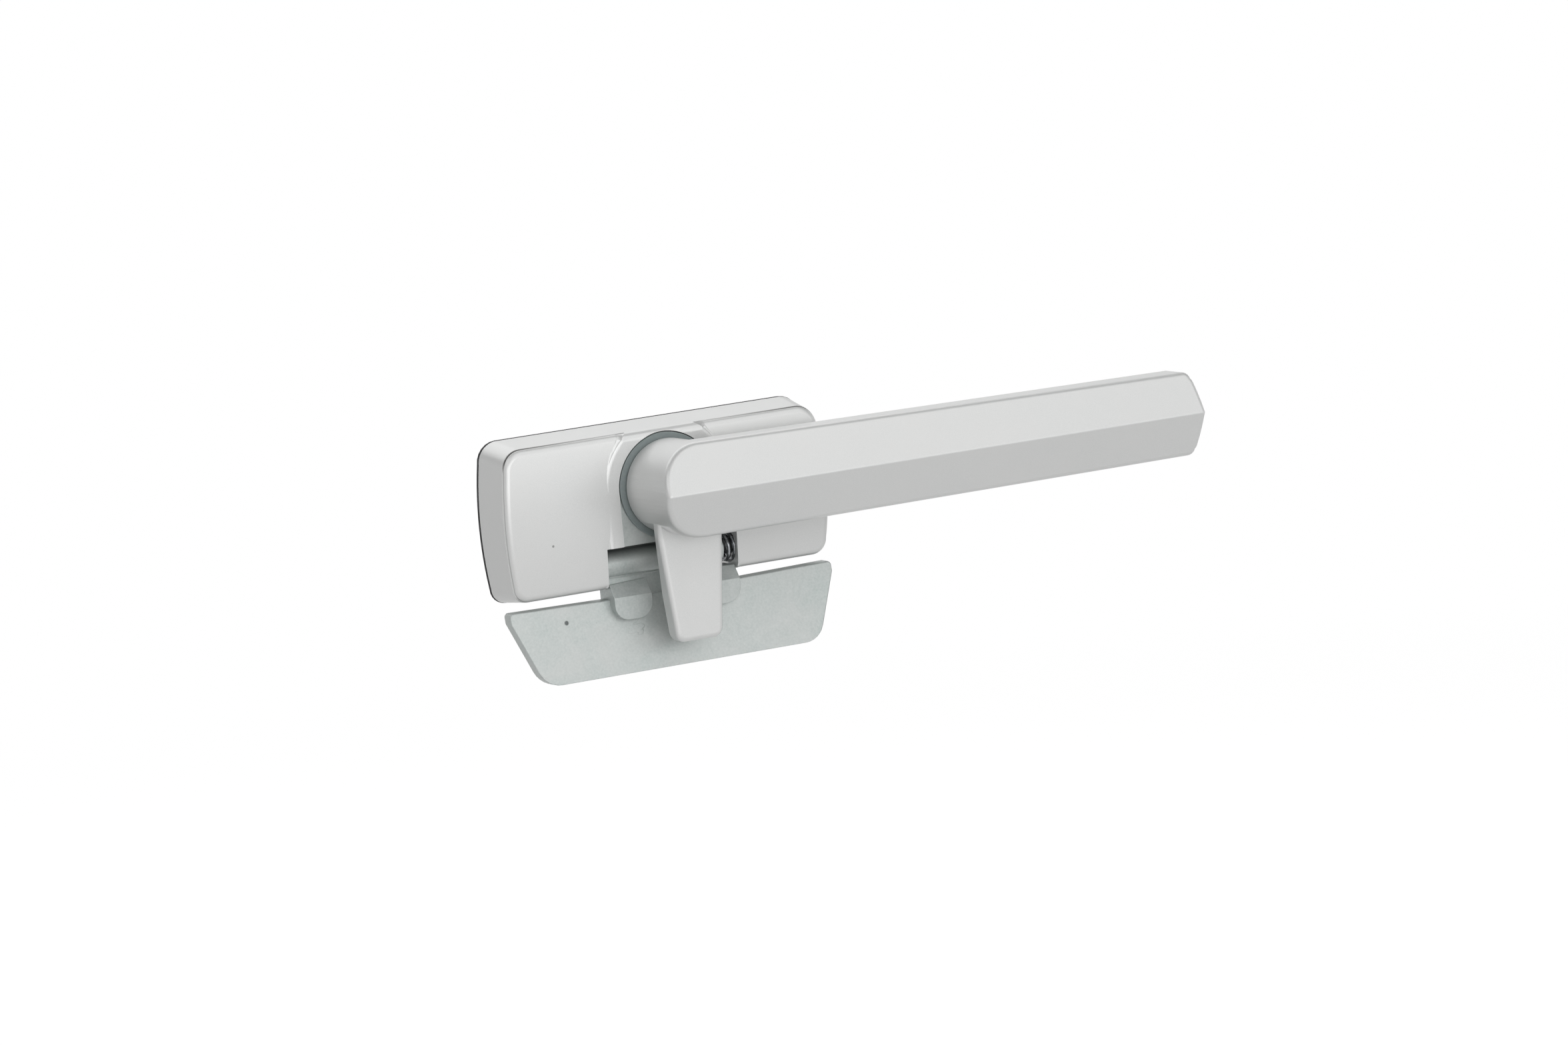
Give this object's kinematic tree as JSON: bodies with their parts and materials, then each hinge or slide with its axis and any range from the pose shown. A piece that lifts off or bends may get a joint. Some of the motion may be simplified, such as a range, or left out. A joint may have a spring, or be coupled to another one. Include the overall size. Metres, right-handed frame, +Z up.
{
  "type": "window fastener",
  "caption": "Screw-on window fastener: a long ridged handle with a hooked beak, turning over a low shell body with a sprung hinged tongue below.",
  "frame": {"origin": "the point where the handle hub's axis meets the mounting plane, which is the back face of the gasket", "axes": "+X along the blade at rest, to its tip; +Y out of the back, into the sash; +Z up, away from the tongue"},
  "size_m": [0.146, 0.0303, 0.0474],
  "materials": {
    "silver_paint": "fine satin metallic silver paint over a zinc casting",
    "raw_zinc": "dull raw zinc casting, blue-green grey, with faint flow marks",
    "bush_plastic": "matte teal-grey bearing plastic",
    "gasket_rubber": "black sealing foil of dense rubber",
    "sheet_steel": "zinc-plated steel, dull",
    "screw_steel": "plain bright steel, fine turned finish",
    "spring_steel": "drawn spring steel, slightly dark",
    "insert_brass": "turned brass",
    "slide_plastic": "natural off-white slide plastic",
    "keeper_plastic": "moulded dark grey plastic"
  },
  "bodies": {
    "base": {"base_gasket": "gasket_rubber", "body_casting": "silver_paint", "back_plate": "sheet_steel", "back_plate_screws": "screw_steel", "fixing_inserts": "insert_brass", "bearing_plate": "raw_zinc", "bearing_plate_screws": "screw_steel", "hub_bush": "bush_plastic", "stop_pins": "screw_steel", "friction_washer": "slide_plastic", "tongue_pin": "screw_steel", "pin_keepers": "keeper_plastic", "tongue_spring": "spring_steel"},
    "lever": {"handle": "silver_paint", "spindle": "sheet_steel", "stop_washer": "sheet_steel", "disc_spring": "spring_steel", "circlip": "spring_steel"},
    "flap": {"tongue": "raw_zinc", "tongue_pad": "slide_plastic"}
  },
  "joints": [
    {"name": "handle_turn", "type": "hinge", "parent": "base", "child": "lever", "pos_m": [0, 0, 0], "axis": [0, -1, 0], "range_deg": [0, 90]},
    {"name": "tongue_swing", "type": "hinge", "parent": "base", "child": "flap", "pos_m": [0, -0.0056, -0.0142], "axis": [-1, 0, 0], "range_deg": [0, 36]}
  ],
  "couplings": [
    {"joint": "tongue_swing", "follows": "handle_turn", "ratio": 0.4}
  ]
}
